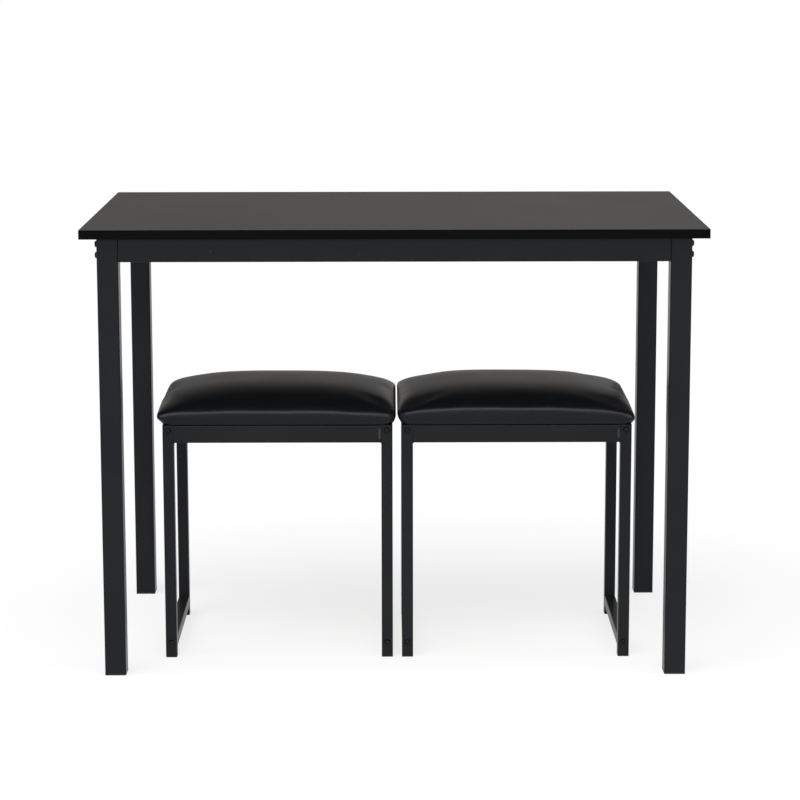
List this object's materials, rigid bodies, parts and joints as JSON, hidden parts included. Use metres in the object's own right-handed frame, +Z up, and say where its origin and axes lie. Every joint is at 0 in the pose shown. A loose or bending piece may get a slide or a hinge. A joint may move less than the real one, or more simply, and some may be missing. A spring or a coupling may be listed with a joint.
{
  "type": "dining table with two stools",
  "caption": "Narrow dining table on a square-tube steel frame, with padded backless stools stored side by side under it.",
  "frame": {"origin": "on the floor under the middle of the table, which is the bottom centre of the whole set's box", "axes": "+X along the table's length, +Y towards its rear side, away from the side that the stools pull out to, +Z up"},
  "size_m": [1.02, 0.6, 0.75],
  "materials": {
    "table_top_laminate": "fine-textured black laminate, satin",
    "steel_coating": "black powder coat, satin",
    "bolt_black": "black oxide, satin",
    "foot_plastic": "matt black",
    "seat_plywood": "raw birch plywood",
    "cushion_cover": "black faux leather with a fine grain, soft sheen"
  },
  "bodies": {
    "table": {"table_top": "table_top_laminate", "table_left_end_frame": "steel_coating", "table_right_end_frame": "steel_coating", "table_front_rail": "steel_coating", "table_rear_rail": "steel_coating", "table_bolt_front_left_lower": "bolt_black", "table_bolt_front_left_upper": "bolt_black", "table_bolt_front_right_lower": "bolt_black", "table_bolt_front_right_upper": "bolt_black", "table_bolt_rear_left_lower": "bolt_black", "table_bolt_rear_left_upper": "bolt_black", "table_bolt_rear_right_lower": "bolt_black", "table_bolt_rear_right_upper": "bolt_black", "table_foot_cap_front_left": "foot_plastic", "table_foot_cap_front_right": "foot_plastic", "table_foot_cap_rear_left": "foot_plastic", "table_foot_cap_rear_right": "foot_plastic"},
    "left_stool": {"left_stool_front_frame": "steel_coating", "left_stool_rear_frame": "steel_coating", "left_stool_left_lower_rail": "steel_coating", "left_stool_left_upper_rail": "steel_coating", "left_stool_right_lower_rail": "steel_coating", "left_stool_right_upper_rail": "steel_coating", "left_stool_bolt_front_left_lower": "bolt_black", "left_stool_bolt_front_left_upper": "bolt_black", "left_stool_bolt_front_right_lower": "bolt_black", "left_stool_bolt_front_right_upper": "bolt_black", "left_stool_bolt_rear_left_lower": "bolt_black", "left_stool_bolt_rear_left_upper": "bolt_black", "left_stool_bolt_rear_right_lower": "bolt_black", "left_stool_bolt_rear_right_upper": "bolt_black", "left_stool_foot_cap_front_left": "foot_plastic", "left_stool_foot_cap_front_right": "foot_plastic", "left_stool_foot_cap_rear_left": "foot_plastic", "left_stool_foot_cap_rear_right": "foot_plastic", "left_stool_seat_board": "seat_plywood", "left_stool_cushion": "cushion_cover"},
    "right_stool": {"right_stool_front_frame": "steel_coating", "right_stool_rear_frame": "steel_coating", "right_stool_left_lower_rail": "steel_coating", "right_stool_left_upper_rail": "steel_coating", "right_stool_right_lower_rail": "steel_coating", "right_stool_right_upper_rail": "steel_coating", "right_stool_bolt_front_left_lower": "bolt_black", "right_stool_bolt_front_left_upper": "bolt_black", "right_stool_bolt_front_right_lower": "bolt_black", "right_stool_bolt_front_right_upper": "bolt_black", "right_stool_bolt_rear_left_lower": "bolt_black", "right_stool_bolt_rear_left_upper": "bolt_black", "right_stool_bolt_rear_right_lower": "bolt_black", "right_stool_bolt_rear_right_upper": "bolt_black", "right_stool_foot_cap_front_left": "foot_plastic", "right_stool_foot_cap_front_right": "foot_plastic", "right_stool_foot_cap_rear_left": "foot_plastic", "right_stool_foot_cap_rear_right": "foot_plastic", "right_stool_seat_board": "seat_plywood", "right_stool_cushion": "cushion_cover"}
  },
  "joints": [
    {"name": "left_stool_slide", "type": "slide", "parent": "table", "child": "left_stool", "axis": [0, -1, 0], "range_m": [0, 0.5]},
    {"name": "right_stool_slide", "type": "slide", "parent": "table", "child": "right_stool", "axis": [0, -1, 0], "range_m": [0, 0.5]}
  ]
}
